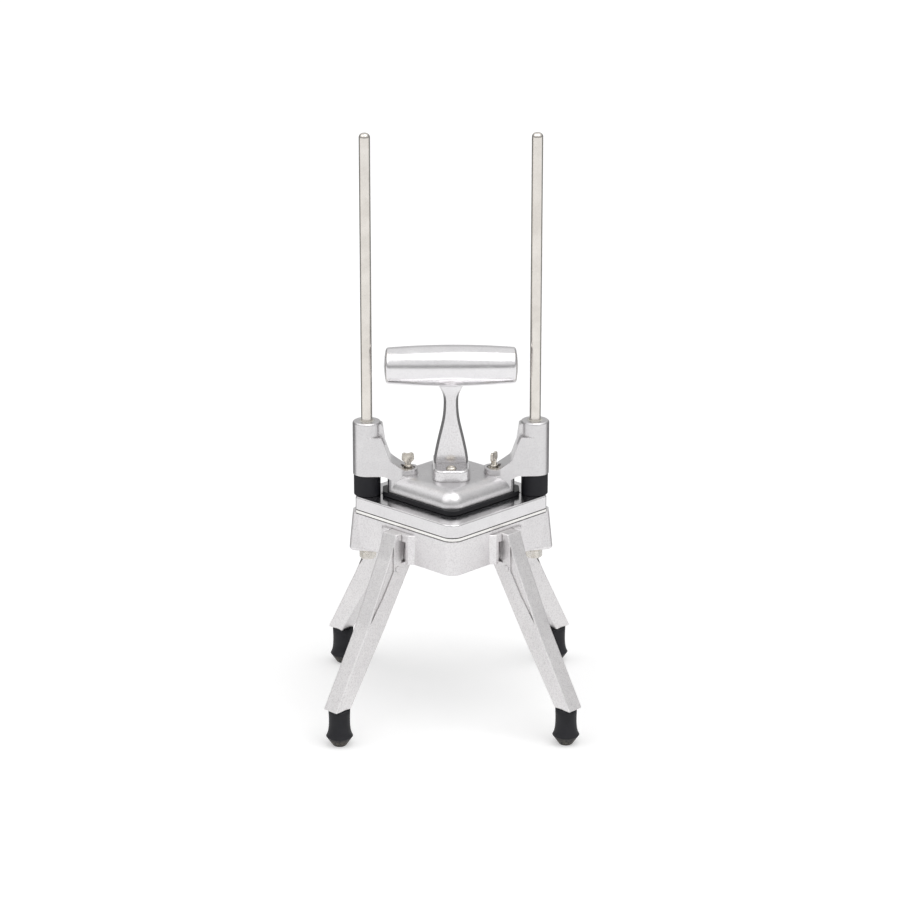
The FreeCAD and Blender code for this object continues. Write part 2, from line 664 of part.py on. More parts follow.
def leg_beam():
    """The leg's side outline, drawn out to its width and rounded along the outer face."""
    outline = [(SOCKET_BACK, SOCKET_TOP_Z, 0), (outward(LEG_TOP_REACH), SOCKET_TOP_Z, LEG_TOP_ROUND),
               (outward(LEG_KNEE_REACH), SOCKET_TOP_Z - LEG_KNEE_DROP, LEG_KNEE_RADIUS),
               (outward(LEG_BEND_REACH), LEG_BEND_Z, LEG_BEND_RADIUS),
               (outward(LEG_TOE_REACH), LEG_BOTTOM_Z, LEG_TOE_ROUND),
               (outward(LEG_HEEL_REACH), LEG_BOTTOM_Z, LEG_TOE_ROUND),
               (outward(LEG_SHIN_REACH), LEG_SHIN_Z, LEG_BEND_RADIUS),
               (outward(-LEG_PIT_INSET), SKIRT_BOTTOM_Z - LEG_PIT_DROP, 0),
               (outward(-LEG_SHOULDER_INSET), SKIRT_BOTTOM_Z, 0), (SOCKET_BACK, SKIRT_BOTTOM_Z, 0)]
    beam = leg_plate(outline, -1, 2 * LEG_HALF_WIDTH)
    ridge = []
    for edge in beam.Edges:
        box = edge.BoundBox
        middle = edge.valueAt((edge.FirstParameter + edge.LastParameter) / 2)
        on_flank = box.YMax - box.YMin < NEAR
        if on_flank and leg_face_r(middle.z) - middle.x < LEG_EDGE_ROUND and box.ZMax > LEG_BOTTOM_Z + NEAR:
            ridge.append(edge)
    return beam.makeFillet(LEG_EDGE_ROUND, ridge)


def leg():
    body = leg_beam()
    slot_top = SOCKET_TOP_Z - SOCKET_ROOF
    rim = [SOCKET_TOP_Z - LEG_KNEE_DROP, LEG_RECESS_PIT_Z, LEG_RECESS_TIP_Z]
    recess = [(leg_face_r(z) - LEG_RECESS_RIM, z, 0) for z in rim]
    recess += [(outward(LEG_RECESS_SHIN_REACH), LEG_RECESS_SHIN_Z, 0),
               (outward(LEG_RECESS_PIT_REACH), LEG_RECESS_PIT_Z, 0),
               (outward(LEG_RECESS_PIT_REACH), SOCKET_TOP_Z - LEG_RECESS_TOP_DROP, 0)]
    tenon = [(SOCKET_BACK - BORE_MARGIN, slot_top, 0), (outward(LEG_TENON_TOP_REACH), slot_top, 0),
             (outward(LEG_TENON_BOTTOM_REACH), SKIRT_BOTTOM_Z, 0), (SOCKET_BACK - BORE_MARGIN, SKIRT_BOTTOM_Z, 0)]
    for sign in (-1, 1):
        body = body.cut(leg_plate(recess, sign, LEG_RECESS_DEPTH))
        body = body.cut(leg_plate(tenon, sign, LEG_HALF_WIDTH - LEG_TENON_HALF))
        bump_root = Vector(outward(LEG_BUMP_REACH), sign * (LEG_HALF_WIDTH - BORE_MARGIN), LEG_BUMP_Z)
        body = body.fuse(Part.makeCylinder(LEG_BUMP_RADIUS, LEG_BUMP_PROUD + BORE_MARGIN, bump_root,
                                           Vector(0, sign, 0)))
    peg = tube(PEG_RADIUS, LEG_BOTTOM_Z - PEG_LENGTH, LEG_BOTTOM_Z + PEG_SINK, FOOT_R)
    peg = peg.makeChamfer(PEG_CHAMFER, edges_at(peg, LEG_BOTTOM_Z - PEG_LENGTH))
    body = body.fuse(peg)
    screw_hole = Part.makeCylinder(LEG_SCREW_RADIUS + FIT_GAP, LEG_SCREW_REACH,
                                   Vector(SOCKET_BACK - BORE_MARGIN, 0, LEG_SCREW_Z), OUT)
    return cleaned(body.cut(screw_hole))


def leg_washer():
    seat = Vector(SKIRT_INSIDE - LEG_WASHER_THICKNESS, 0, LEG_SCREW_Z)
    disc = Part.makeCylinder(LEG_WASHER_RADIUS, LEG_WASHER_THICKNESS, seat, OUT)
    return disc.cut(Part.makeCylinder(LEG_SCREW_RADIUS + FIT_GAP, LEG_WASHER_THICKNESS, seat, OUT))


def leg_screw():
    seat = SKIRT_INSIDE - LEG_WASHER_THICKNESS
    head = hexagon(LEG_SCREW_HEAD_FLATS, 0, LEG_SCREW_HEAD_HEIGHT, 0, 0, LEG_SCREW_HEAD_CHAMFER)
    shank_length = SOCKET_BACK + LEG_SCREW_REACH - LEG_SCREW_END_GAP - seat
    shank = tube(LEG_SCREW_RADIUS, LEG_SCREW_HEAD_HEIGHT, LEG_SCREW_HEAD_HEIGHT + shank_length)
    screw = cleaned(head.fuse(shank))
    screw.rotate(ORIGIN, Vector(0, 1, 0), 90)
    screw.translate(Vector(seat - LEG_SCREW_HEAD_HEIGHT, 0, LEG_SCREW_Z))
    return screw


def rubber_foot():
    x = FOOT_R
    points = [Vector(x, 0, 0), Vector(x + RUBBER_TREAD_RADIUS, 0, 0)]
    bottom = Part.makeLine(points[0], points[1])
    flare = Vector(x + RUBBER_FLARE_RADIUS, 0, RUBBER_FLARE_Z)
    belly = Part.Arc(points[1], Vector(x + RUBBER_BELLY_RADIUS, 0, RUBBER_BELLY_Z), flare).toShape()
    top = Vector(x + RUBBER_TOP_RADIUS, 0, LEG_BOTTOM_Z)
    waist = Part.Arc(flare, Vector(x + RUBBER_WAIST_RADIUS, 0, RUBBER_WAIST_Z), top).toShape()
    lid = Part.makeLine(top, Vector(x, 0, LEG_BOTTOM_Z))
    axis = Part.makeLine(Vector(x, 0, LEG_BOTTOM_Z), points[0])
    face = Part.Face(Part.Wire([bottom, belly, waist, lid, axis]))
    body = face.revolve(Vector(x, 0, 0), UP, 360)
    return cleaned(body.cut(bore(PEG_RADIUS + FIT_GAP, LEG_BOTTOM_Z - PEG_LENGTH, LEG_BOTTOM_Z, x)))


# Pusher head: a deep rounded cap, two arms that climb to tall sleeves, and a flat seat for the handle
def arm_prism():
    """The left arm: its side outline, from the sleeve down to the cap, cut to its plan."""
    root_z = BOSS_BOTTOM_Z - ARM_ROOT_DROP
    boss_x = THUMB_BOSS_RADIUS - THUMB_X
    outline = [(-ROD_X, BOSS_BOTTOM_Z, 0), (-CAP_END - ARM_HEEL_REACH, BOSS_BOTTOM_Z, ARM_HEEL_ROUND),
               (-CAP_END + ARM_TOE_REACH, BOSS_BOTTOM_Z - ARM_TOE_DROP, ARM_TOE_ROUND),
               (-THUMB_X - ARM_NOSE_REACH, root_z, 0), (-THUMB_X + ARM_ROOT_REACH, root_z, 0),
               (-THUMB_X + ARM_ROOT_REACH, CAP_TOP_Z - FOOT_EDGE_ROUND, 0), (boss_x, CAP_TOP_Z - FOOT_EDGE_ROUND, 0),
               (boss_x, THUMB_SEAT_Z, 0), (-THUMB_X - THUMB_SHANK_RADIUS, THUMB_SEAT_Z, 0),
               (-CAP_END + ARM_SWEEP_LOW_REACH, BOSS_BOTTOM_Z + ARM_SWEEP_LOW_RISE, ARM_SWEEP_LOW_ROUND),
               (-CAP_END + ARM_SWEEP_MID_REACH, BOSS_BOTTOM_Z + ARM_SWEEP_MID_RISE, ARM_SWEEP_MID_ROUND),
               (-CAP_END - ARM_SWEEP_TOP_REACH, BOSS_BOTTOM_Z + ARM_SWEEP_TOP_RISE, ARM_SWEEP_TOP_ROUND),
               (-ARM_INNER_X, ARM_TOP_Z, ARM_TOP_ROUND), (-ROD_X, ARM_TOP_Z, 0)]
    side = prism(rounded_wire(outline, upright(-BOSS_RADIUS)), Vector(0, 2 * BOSS_RADIUS, 0))
    nose_half = THUMB_BOSS_RADIUS * ARM_NOSE_TAPER
    nose_round = nose_half - NEAR
    face_end_x = -THUMB_X - ARM_NOSE_REACH
    plan = [(-ROD_X, -BOSS_RADIUS, 0), (face_end_x, -BOSS_RADIUS, ARM_NOSE_ROUND), (boss_x, -nose_half, nose_round),
            (boss_x, nose_half, nose_round), (face_end_x, BOSS_RADIUS, ARM_NOSE_ROUND), (-ROD_X, BOSS_RADIUS, 0)]
    return side.common(slab(plan, BLOCK_TOP_Z, BOSS_TOP_Z))


def sleeve():
    boss = tube(BOSS_RADIUS, BOSS_BOTTOM_Z, BOSS_TOP_Z, -ROD_X)
    boss = boss.makeFillet(BOSS_EDGE_ROUND, edges_at(boss, BOSS_TOP_Z))
    rib_top = BOSS_TOP_Z - RIB_TOP_DROP
    rib_foot = ARM_TOP_Z - RIB_FOOT_DROP
    outline = [(-ROD_X, rib_foot, 0), (-ROD_X + RIB_FOOT_REACH, rib_foot, 0),
               (-ROD_X + RIB_TOP_REACH, rib_top, RIB_TOP_ROUND), (-ROD_X, rib_top, 0)]
    rib = prism(rounded_wire(outline, upright(-RIB_HALF_WIDTH)), Vector(0, 2 * RIB_HALF_WIDTH, 0))
    return boss.fuse(rib)


def cap():
    """A square pillow with its left and right tips cut off plumb, and a neck under each arm."""
    pillow = slab(square(CAP_SIDE, CAP_CORNER_RADIUS), BLOCK_TOP_Z, CAP_TOP_Z)
    pillow = pillow.makeFillet(CAP_EDGE_ROUND, edges_at(pillow, CAP_TOP_Z))
    outline = slab(diamond(CAP_SIDE, CAP_CORNER_RADIUS, CAP_END, CAP_END_RADIUS), BLOCK_TOP_Z, CAP_TOP_Z)
    necks = outline.common(Part.makeBox(2 * CAP_END, 2 * BOSS_RADIUS, CAP_HEIGHT,
                                        Vector(-CAP_END, -BOSS_RADIUS, BLOCK_TOP_Z)))
    necks = necks.cut(Part.makeBox(2 * THUMB_X, 2 * BOSS_RADIUS, CAP_HEIGHT,
                                   Vector(-THUMB_X, -BOSS_RADIUS, BLOCK_TOP_Z)))
    return pillow.common(outline).fuse(necks)


def cap_cavity():
    """The hollow underneath, with a boss left round each handle screw."""
    end = THUMB_X - CAP_CAVITY_END
    hollow = slab(diamond(CAP_SIDE - CAP_WALL, CAP_CAVITY_RADIUS, end, CAP_CAVITY_RADIUS),
                  BLOCK_TOP_Z - BORE_MARGIN, CAP_TOP_Z - CAP_ROOF)
    for y in (-HANDLE_SCREW_Y, HANDLE_SCREW_Y):
        hollow = hollow.cut(tube(SCREW_BOSS_RADIUS, BLOCK_TOP_Z, CAP_TOP_Z, 0, y))
    return hollow


def pusher_head():
    arm = arm_prism().fuse(sleeve())
    body = cap().fuse(arm).fuse(mirrored_x(arm)).cut(cap_cavity())
    for x in (-ROD_X, ROD_X):
        body = body.cut(bore(BUSH_RADIUS + FIT_GAP, BOSS_BOTTOM_Z, BOSS_TOP_Z, x))
    spot_z = THUMB_SEAT_Z - THUMB_SPOT_DEPTH
    for x in (-THUMB_X, THUMB_X):
        body = body.cut(bore(THUMB_SHANK_RADIUS + THUMB_HOLE_GAP, BLOCK_TOP_Z, THUMB_SEAT_Z, x))
        body = body.cut(tube(THUMB_SPOT_RADIUS, spot_z, ARM_TOP_Z, x))
    for y in (-HANDLE_SCREW_Y, HANDLE_SCREW_Y):
        screw_hole = tube(HANDLE_SCREW_RADIUS + FIT_GAP, HANDLE_SCREW_END_Z - HANDLE_SCREW_END_GAP, FOOT_TOP_Z, 0, y)
        body = body.cut(screw_hole)
    return cleaned(body)


def rod_bushing(x, z0):
    return tube(BUSH_RADIUS, z0, z0 + BUSH_LENGTH, x).cut(
        bore(ROD_RADIUS + RUNNING_GAP, z0, z0 + BUSH_LENGTH, x))


# T-handle: a barrel-shaped grip on a waisted stem with a screwed foot
def barrel():
    end = BARREL_HALF_LENGTH
    left = Vector(-end, 0, BARREL_Z)
    shoulder = end - BARREL_END_DOME
    crown = Part.Arc(Vector(-shoulder, 0, BARREL_Z + BARREL_END_RADIUS),
                     Vector(0, 0, BARREL_Z + BARREL_MID_RADIUS),
                     Vector(shoulder, 0, BARREL_Z + BARREL_END_RADIUS)).toShape()
    rise = BARREL_END_RADIUS / 2
    drop = BARREL_END_DOME / 4
    left_end = Part.Arc(left, Vector(-end + drop, 0, BARREL_Z + rise),
                        Vector(-shoulder, 0, BARREL_Z + BARREL_END_RADIUS)).toShape()
    right_end = Part.Arc(Vector(shoulder, 0, BARREL_Z + BARREL_END_RADIUS),
                         Vector(end - drop, 0, BARREL_Z + rise), Vector(end, 0, BARREL_Z)).toShape()
    axis = Part.makeLine(Vector(end, 0, BARREL_Z), left)
    solid = Part.Face(Part.Wire([left_end, crown, right_end, axis])).revolve(
        Vector(0, 0, BARREL_Z), OUT, 360).Solids[0]
    rims = []
    for edge in solid.Edges:
        box = edge.BoundBox
        if box.XMax - box.XMin < NEAR and box.ZMax - box.ZMin > BARREL_END_RADIUS:
            rims.append(edge)
    return solid.makeFillet(BARREL_END_ROUND, rims)


def stem_wire(y, narrower):
    """The stem's outline in a plane of constant y, each side drawn in by narrower."""
    right = [Vector(width / 2 - narrower, y, FOOT_TOP_Z + rise) for rise, width in STEM_WIDTHS]
    foot_x = FOOT_HALF_X - FOOT_DRAFT - STEM_FOOT_INSET - narrower
    right.append(Vector(foot_x, y, FOOT_TOP_Z - STEM_FOOT_SINK))
    left = [Vector(-p.x, y, p.z) for p in reversed(right)]
    right_curve = Part.BSplineCurve()
    right_curve.interpolate(right)
    left_curve = Part.BSplineCurve()
    left_curve.interpolate(left)
    return Part.Wire([right_curve.toShape(), Part.makeLine(right[-1], left[0]), left_curve.toShape(),
                      Part.makeLine(left[-1], right[0])])


def t_handle():
    front = Part.makeLoft([stem_wire(-STEM_HALF_THICKNESS, STEM_FLANK_DRAFT), stem_wire(0, 0)], True, True)
    back = front.mirror(ORIGIN, Vector(0, 1, 0))
    low = [(-FOOT_HALF_X, -FOOT_HALF_Y, FOOT_ROUND), (FOOT_HALF_X, -FOOT_HALF_Y, FOOT_ROUND),
           (FOOT_HALF_X, FOOT_HALF_Y, FOOT_ROUND), (-FOOT_HALF_X, FOOT_HALF_Y, FOOT_ROUND)]
    fx = FOOT_HALF_X - FOOT_DRAFT
    fy = FOOT_HALF_Y - FOOT_DRAFT
    high = [(-fx, -fy, FOOT_ROUND), (fx, -fy, FOOT_ROUND), (fx, fy, FOOT_ROUND), (-fx, fy, FOOT_ROUND)]
    foot = Part.makeLoft([rounded_wire(low, flat(CAP_TOP_Z)), rounded_wire(high, flat(FOOT_TOP_Z))], True, True)
    foot = foot.makeFillet(FOOT_EDGE_ROUND, edges_at(foot, FOOT_TOP_Z))
    body = barrel().fuse(front).fuse(back).fuse(foot)
    for y in (-HANDLE_SCREW_Y, HANDLE_SCREW_Y):
        body = body.cut(bore(HANDLE_SCREW_RADIUS + HANDLE_SCREW_GAP, CAP_TOP_Z, FOOT_TOP_Z, 0, y))
    return cleaned(body)


def handle_screw(y):
    """A screw with a low domed head: a short cylinder capped by part of a ball."""
    shank = tube(HANDLE_SCREW_RADIUS, HANDLE_SCREW_END_Z, FOOT_TOP_Z + HANDLE_SCREW_RIM, 0, y)
    rise = HANDLE_SCREW_HEAD_HEIGHT - HANDLE_SCREW_RIM
    ball_radius = (rise * rise + HANDLE_SCREW_HEAD_RADIUS * HANDLE_SCREW_HEAD_RADIUS) / (2 * rise)
    top = FOOT_TOP_Z + HANDLE_SCREW_HEAD_HEIGHT
    head = tube(HANDLE_SCREW_HEAD_RADIUS, FOOT_TOP_Z, top, 0, y)
    head = head.common(Part.makeSphere(ball_radius, Vector(0, y, top - ball_radius)))
    return cleaned(head.fuse(shank))


# Pusher block: a moulded plate with a finger for every cell of the blade grid
def finger(u, v):
    side = CELL_PITCH - BLADE_THICKNESS - 2 * FINGER_SIDE_GAP
    root = side / 2
    tip = root - FINGER_TAPER
    wires = []
    for half, z in ((tip, BLOCK_BOTTOM_Z - FINGER_REACH), (root, BLOCK_BOTTOM_Z)):
        corners = [(u - half, v - half, 0), (u + half, v - half, 0), (u + half, v + half, 0), (u - half, v + half, 0)]
        wires.append(rounded_wire(corners, flat(z)))
    return turned(Part.makeLoft(wires, True, True), 45)


def pusher_block():
    plate = slab(diamond(BLOCK_SIDE, BLOCK_CORNER_RADIUS, BLOCK_END, BLOCK_END_RADIUS), BLOCK_BOTTOM_Z, BLOCK_TOP_Z)
    fingers = []
    middle = (CELLS_PER_SIDE - 1) / 2
    for i in range(CELLS_PER_SIDE):
        for j in range(CELLS_PER_SIDE):
            fingers.append(finger((i - middle) * CELL_PITCH, (j - middle) * CELL_PITCH))
    trim = slab(diamond(BLOCK_SIDE, BLOCK_CORNER_RADIUS, BLOCK_END, BLOCK_END_RADIUS),
                BLOCK_BOTTOM_Z - FINGER_REACH, BLOCK_TOP_Z)
    body = plate.multiFuse(fingers).common(trim)
    for x in (-THUMB_X, THUMB_X):
        body = body.cut(tube(INSERT_RADIUS + FIT_GAP, INSERT_BOTTOM_Z, CAP_TOP_Z, x))
    return cleaned(body)


def block_insert(x):
    """A closed-ended threaded cup, flush with the top of the block."""
    cup = tube(INSERT_RADIUS, INSERT_BOTTOM_Z, BLOCK_TOP_Z, x)
    return cup.cut(tube(THUMB_SHANK_RADIUS + RUNNING_GAP, INSERT_BOTTOM_Z + INSERT_BASE, CAP_TOP_Z, x))


def thumb_washer(x):
    z0 = THUMB_SEAT_Z - THUMB_SPOT_DEPTH
    return tube(THUMB_WASHER_RADIUS, z0, z0 + THUMB_WASHER_THICKNESS, x).cut(
        bore(THUMB_SHANK_RADIUS + THUMB_HOLE_GAP, z0, THUMB_SEAT_Z, x))


def thumb_screw(x, turn):
    """A screw with a flat two-lobed head, turned about its own axis."""
    seat = THUMB_SEAT_Z - THUMB_SPOT_DEPTH + THUMB_WASHER_THICKNESS + RUNNING_GAP
    neck_z = seat + THUMB_COLLAR_HEIGHT
    wing_z = neck_z + THUMB_NECK_HEIGHT
    shank = tube(THUMB_SHANK_RADIUS, THUMB_SHANK_END_Z, seat)
    collar = tube(THUMB_COLLAR_RADIUS, seat, neck_z)
    collar = collar.makeFillet(THUMB_COLLAR_ROUND, edges_at(collar, neck_z))
    neck = Part.makeCone(THUMB_NECK_LOW_RADIUS, THUMB_NECK_TOP_RADIUS, THUMB_NECK_HEIGHT + THUMB_LOBE_ROOT,
                         Vector(0, 0, neck_z), UP)
    root = THUMB_LOBE_ROOT_WIDTH / 2
    wide = THUMB_WING_WIDTH / 2
    crown = THUMB_WING_TOP_WIDTH / 2
    top = wing_z + THUMB_WING_HEIGHT
    low = wing_z + THUMB_LOBE_LOW
    lobes = [(-root, wing_z - THUMB_LOBE_ROOT, THUMB_COLLAR_ROUND), (root, wing_z - THUMB_LOBE_ROOT, THUMB_COLLAR_ROUND),
             (wide, low, THUMB_LOBE_ROUND), (crown, top, THUMB_LOBE_ROUND), (0, top - THUMB_LOBE_DIP, THUMB_LOBE_ROUND),
             (-crown, top, THUMB_LOBE_ROUND), (-wide, low, THUMB_LOBE_ROUND)]
    blade_half = THUMB_WING_THICKNESS / 2
    spade = prism(rounded_wire(lobes, upright(-blade_half)), Vector(0, THUMB_WING_THICKNESS, 0))
    flat_edges = [e for e in spade.Edges if e.BoundBox.YMax - e.BoundBox.YMin < NEAR]
    spade = spade.makeFillet(THUMB_WING_ROUND, flat_edges)
    screw = cleaned(shank.fuse(collar).fuse(neck).fuse(spade))
    screw.rotate(ORIGIN, UP, turn)
    screw.translate(Vector(x, 0, 0))
    return screw


def build():
    os.makedirs("parts", exist_ok=True)
    save("base_casting", [base_casting()])
    save("blade_plate", [blade_plate()])
    save("upper_frame", [upper_frame()])
    save("blades_lower", [blade(45, offset, LOWER_BLADE_Z) for offset in blade_offsets()])
    save("blades_upper", [blade(-45, offset, UPPER_BLADE_Z) for offset in blade_offsets()])
    sides = (("left", -ROD_X), ("right", ROD_X))
    for name, x in sides:
        save("guide_rod_" + name, [guide_rod(x)])
        save("bumper_" + name, [bumper(x)])
    save("rod_washers", [rod_washer(x) for _, x in sides])
    save("rod_lock_washers", [rod_lock_washer(x) for _, x in sides])
    save("rod_nuts", [rod_nut(x) for _, x in sides])
    for name, angle in SIDES:
        save("leg_" + name, [turned(leg(), angle)])
        save("foot_" + name, [turned(rubber_foot(), angle)])
    save("leg_screws", [turned(leg_screw(), angle) for _, angle in SIDES])
    save("leg_washers", [turned(leg_washer(), angle) for _, angle in SIDES])
    save("pusher_head", [pusher_head()])
    bush_heights = (BOSS_BOTTOM_Z, BOSS_TOP_Z - BUSH_LENGTH)
    save("rod_bushings", [rod_bushing(x, z) for _, x in sides for z in bush_heights])
    save("t_handle", [t_handle()])
    save("handle_screws", [handle_screw(y) for y in (-HANDLE_SCREW_Y, HANDLE_SCREW_Y)])
    save("pusher_block", [pusher_block()])
    save("block_inserts", [block_insert(x) for x in (-THUMB_X, THUMB_X)])
    save("thumb_washers", [thumb_washer(x) for x in (-THUMB_X, THUMB_X)])
    save("thumb_screw_left", [thumb_screw(-THUMB_X, THUMB_LEFT_TURN)])
    save("thumb_screw_right", [thumb_screw(THUMB_X, THUMB_RIGHT_TURN)])


build()
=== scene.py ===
import bpy
import bmesh
import json
import math
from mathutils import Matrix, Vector


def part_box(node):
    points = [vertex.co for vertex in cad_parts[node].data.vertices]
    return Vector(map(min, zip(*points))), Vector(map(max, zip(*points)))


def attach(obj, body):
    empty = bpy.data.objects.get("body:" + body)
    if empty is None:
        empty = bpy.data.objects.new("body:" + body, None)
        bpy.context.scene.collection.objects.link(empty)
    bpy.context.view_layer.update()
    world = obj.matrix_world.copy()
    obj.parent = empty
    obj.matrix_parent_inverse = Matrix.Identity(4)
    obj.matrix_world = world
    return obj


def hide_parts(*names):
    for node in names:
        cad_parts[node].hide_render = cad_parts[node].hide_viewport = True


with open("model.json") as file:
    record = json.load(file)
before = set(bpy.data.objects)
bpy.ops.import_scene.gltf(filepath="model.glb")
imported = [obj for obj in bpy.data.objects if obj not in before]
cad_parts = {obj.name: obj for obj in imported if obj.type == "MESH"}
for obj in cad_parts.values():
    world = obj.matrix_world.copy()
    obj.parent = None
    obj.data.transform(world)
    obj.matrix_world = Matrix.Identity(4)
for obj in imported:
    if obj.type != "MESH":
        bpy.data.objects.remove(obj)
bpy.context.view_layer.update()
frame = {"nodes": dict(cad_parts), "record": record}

# A push-down french fry cutter, in metres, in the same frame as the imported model
NODES = frame["nodes"]
SLOT_OF = {entry["node"]: entry["material_slot"] for entry in frame["record"]["subparts"]}
PLATE_LOW, PLATE_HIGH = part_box("blade_plate")
MILLIMETRE = 0.001

# Camera, fitted to the photograph from the rods and the feet
CAMERA_AT = Vector((-0.0436, -2.6391, 1.0874))
CAMERA_AIM = Vector((0.01543, 0.9522, -0.3052))
CAMERA_LENS = 124.05
CAMERA_SENSOR = 36.0
CAMERA_CLIP_END = 200.0

# Lamps: name, place, spread in degrees and level
LAMPS = (("key", (0.7, -0.8, 2.1), 50, 1.05), ("fill", (-1.2, -0.6, 1.7), 60, 0.55))

# Sky: what a plain surface gets from it, and what metal sees in each direction
SKY_LEVEL = 0.58
SEEN_TOP = 1.05
SEEN_FRONT = 0.50
SEEN_BACK = 0.70
SEEN_CARD = 0.30

# Where one part of the room gives way to the next, on the unit vector that points there
FRONT_TO_BACK_Y = (-0.25, 0.30)
FRONT_TO_TOP_Z = (0.26, 0.38)
BACK_TO_TOP_Z = (0.45, 0.70)
CARD_SIDE_X = (0.30, 0.48)
CARD_SIDE_Y = (0.10, 0.30)
CARD_TOP_Z = (0.55, 0.25)

# Floor: its tone, what is added for the camera and for metal, and how far out the cards darken it
FLOOR_HALF = 40.0
FLOOR_TONE = 0.80
FLOOR_TONE_AT_CARD = 0.22
FLOOR_LIFT = 0.36
FLOOR_LIFT_IN_METAL = 0.33
CARD_DISTANCE = (0.30, 0.70)

# Samples for the edge and crease masks, and the values between which each mask rises
MASK_SAMPLES = 6
CREASE_RISE = (0.80, 0.40)
EDGE_RISE = (0.995, 0.90)

# Noise patterns: scale, detail and roughness
CLOUD = (34.0, 5.0, 0.6)
STREAK = (260.0, 6.0, 0.65)
CAST_GRAIN = (1900.0, 2.0, 0.5)
SPECK = (780.0, 3.0, 0.8)
EDGE_PATCH = (26.0, 3.0, 0.6)
SEAM_BREAK = (300.0, 4.0, 0.7)
DRAWN_LINE = (900.0, 3.0, 0.6)
RUBBER_CLOUD = (90.0, 5.0, 0.6)
MOULD_GRAIN = (2600.0, 3.0, 0.6)
DUST = (420.0, 6.0, 0.7)
STAIN_DETAIL = 4.0
STAIN_ROUGHNESS = 0.6

# Cast aluminium: shares of the cloudy tone, dark specks, edges worn pale and painted with a dark
# reflection, painted shade in corners and relief
CLOUD_SHARE = 0.6
TONE_RISE = (0.36, 0.64)
SPECK_RISE = (0.46, 0.66)
SPECK_SHADE = (0.66, 0.645, 0.65)
EDGE_PATCH_RISE = (0.42, 0.56)
EDGE_DARK_REFLECTION_COLOR = (0.36, 0.33, 0.325)
EDGE_WEAR_AND_DARK_REFLECTION = 0.8
EDGE_POLISH = 0.08
STREAK_ROUGHNESS = (0.3, 0.7, -0.05, 0.06)
CAST_CREASE_SHADE_COLOR = (0.13, 0.12, 0.12)
CAST_CREASE_SHADE_REACH = 0.0025
CAST_CREASE_SHADE_AMOUNT = 0.6
WAVE_STRENGTH = 0.25
CAST_GRAIN_DEPTH = 0.00008

# The stem and foot of the handle, left as cast under the polished bar
AS_CAST_FADE = 0.008
AS_CAST_ROUGHER = 0.02
AS_CAST_PITS = (0.12, 0.5)
AS_CAST_PIT_COLOR = (0.50, 0.48, 0.48)

# The painted shadow line in the gaps above and below the blade plate
SEAM_HEIGHT = 0.0009
SEAM_SHADOW_AMOUNT = 0.85
SEAM_END_FADE = 0.001
SEAM_BREAK_RISE = (0.30, 0.52, 0.35, 1.0)
SEAM_SHADOW_COLOR = (0.035, 0.032, 0.032)

# Drawn or ground bar, sheet and hardware
STAIN_RISE = (0.35, 0.65)
DRAWN_EDGE_WEAR = 0.5
DRAWN_ROUGHNESS = (0.3, 0.7, -0.06, 0.07)
DRAWN_STRENGTH = 0.18
DRAWN_DEPTH = 0.00006

# Rubber and plastic
RUBBER_CLOUD_RISE = (0.3, 0.75, 0.0, 0.55)
RUBBER_EDGE_WEAR = 0.5
RUBBER_ROUGHNESS = (0.3, 0.7, -0.06, 0.08)
RUBBER_SPECULAR = 0.32
MOULD_GRAIN_DEPTH = 0.00012
DUST_SOLID_SHARE = 0.4
DUST_RISE = (0.40, 0.60, 0.0, 0.75)
DUST_COLOR = (0.20, 0.18, 0.145)

# Rubber feet: a waisted boot with a sharp flare and a coned tread, radius and height in millimetres
FOOT_PROFILE = ((5.4, 0.0), (6.1, 0.5), (11.5, 8.3), (11.98, 9.0), (11.5, 9.9), (10.7, 11.8),
                (10.1, 14.2), (9.65, 17.4), (9.42, 21.0), (9.4, 25.5), (9.55, 30.0), (9.68, 34.5))
FOOT_SEGMENTS = 72
FOOT_CORNERS = ("front_left", "front_right", "rear_right", "rear_left")


MATERIALS = {}


# Node helpers
def connect(tree, value, socket):
    """Puts a number, a colour or another node's output into a socket."""
    if isinstance(value, tuple):
        socket.default_value = (*value, 1.0)
    elif isinstance(value, (int, float)):
        socket.default_value = value
    else:
        tree.links.new(value, socket)


def new_material(name):
    """Makes a material, keeps it under its name and returns its node tree and shader."""
    material = bpy.data.materials.new(name)
    MATERIALS[name] = material
    material.use_nodes = True
    tree = material.node_tree
    tree.nodes.clear()
    output = tree.nodes.new("ShaderNodeOutputMaterial")
    shader = tree.nodes.new("ShaderNodeBsdfPrincipled")
    tree.links.new(shader.outputs["BSDF"], output.inputs["Surface"])
    return tree, shader


def object_coords(tree, scale=(1, 1, 1)):
    coords = tree.nodes.new("ShaderNodeTexCoord")
    mapping = tree.nodes.new("ShaderNodeMapping")
    mapping.inputs["Scale"].default_value = scale
    tree.links.new(coords.outputs["Object"], mapping.inputs["Vector"])
    return mapping.outputs["Vector"]


def axes(tree, vector):
    node = tree.nodes.new("ShaderNodeSeparateXYZ")
    tree.links.new(vector, node.inputs["Vector"])
    return node.outputs["X"], node.outputs["Y"], node.outputs["Z"]


def noise(tree, vector, scale, detail, rough):
    node = tree.nodes.new("ShaderNodeTexNoise")
    node.inputs["Scale"].default_value = scale
    node.inputs["Detail"].default_value = detail
    node.inputs["Roughness"].default_value = rough
    tree.links.new(vector, node.inputs["Vector"])
    return node.outputs["Fac"]


def remap(tree, value, low, high, to_low, to_high):
    node = tree.nodes.new("ShaderNodeMapRange")
    node.inputs["From Min"].default_value = low
    node.inputs["From Max"].default_value = high
    node.inputs["To Min"].default_value = to_low
    node.inputs["To Max"].default_value = to_high
    tree.links.new(value, node.inputs["Value"])
    return node.outputs["Result"]


def rise(tree, value, start, end, top=1.0):
    """A mask that goes from 0 where the value is at start to top where it is at end."""
    return remap(tree, value, start, end, 0.0, top)


def roughness_from(tree, value, middle, low, high, less, more):
    """A roughness round its middle, from less below it to more above it."""
    return remap(tree, value, low, high, middle + less, middle + more)


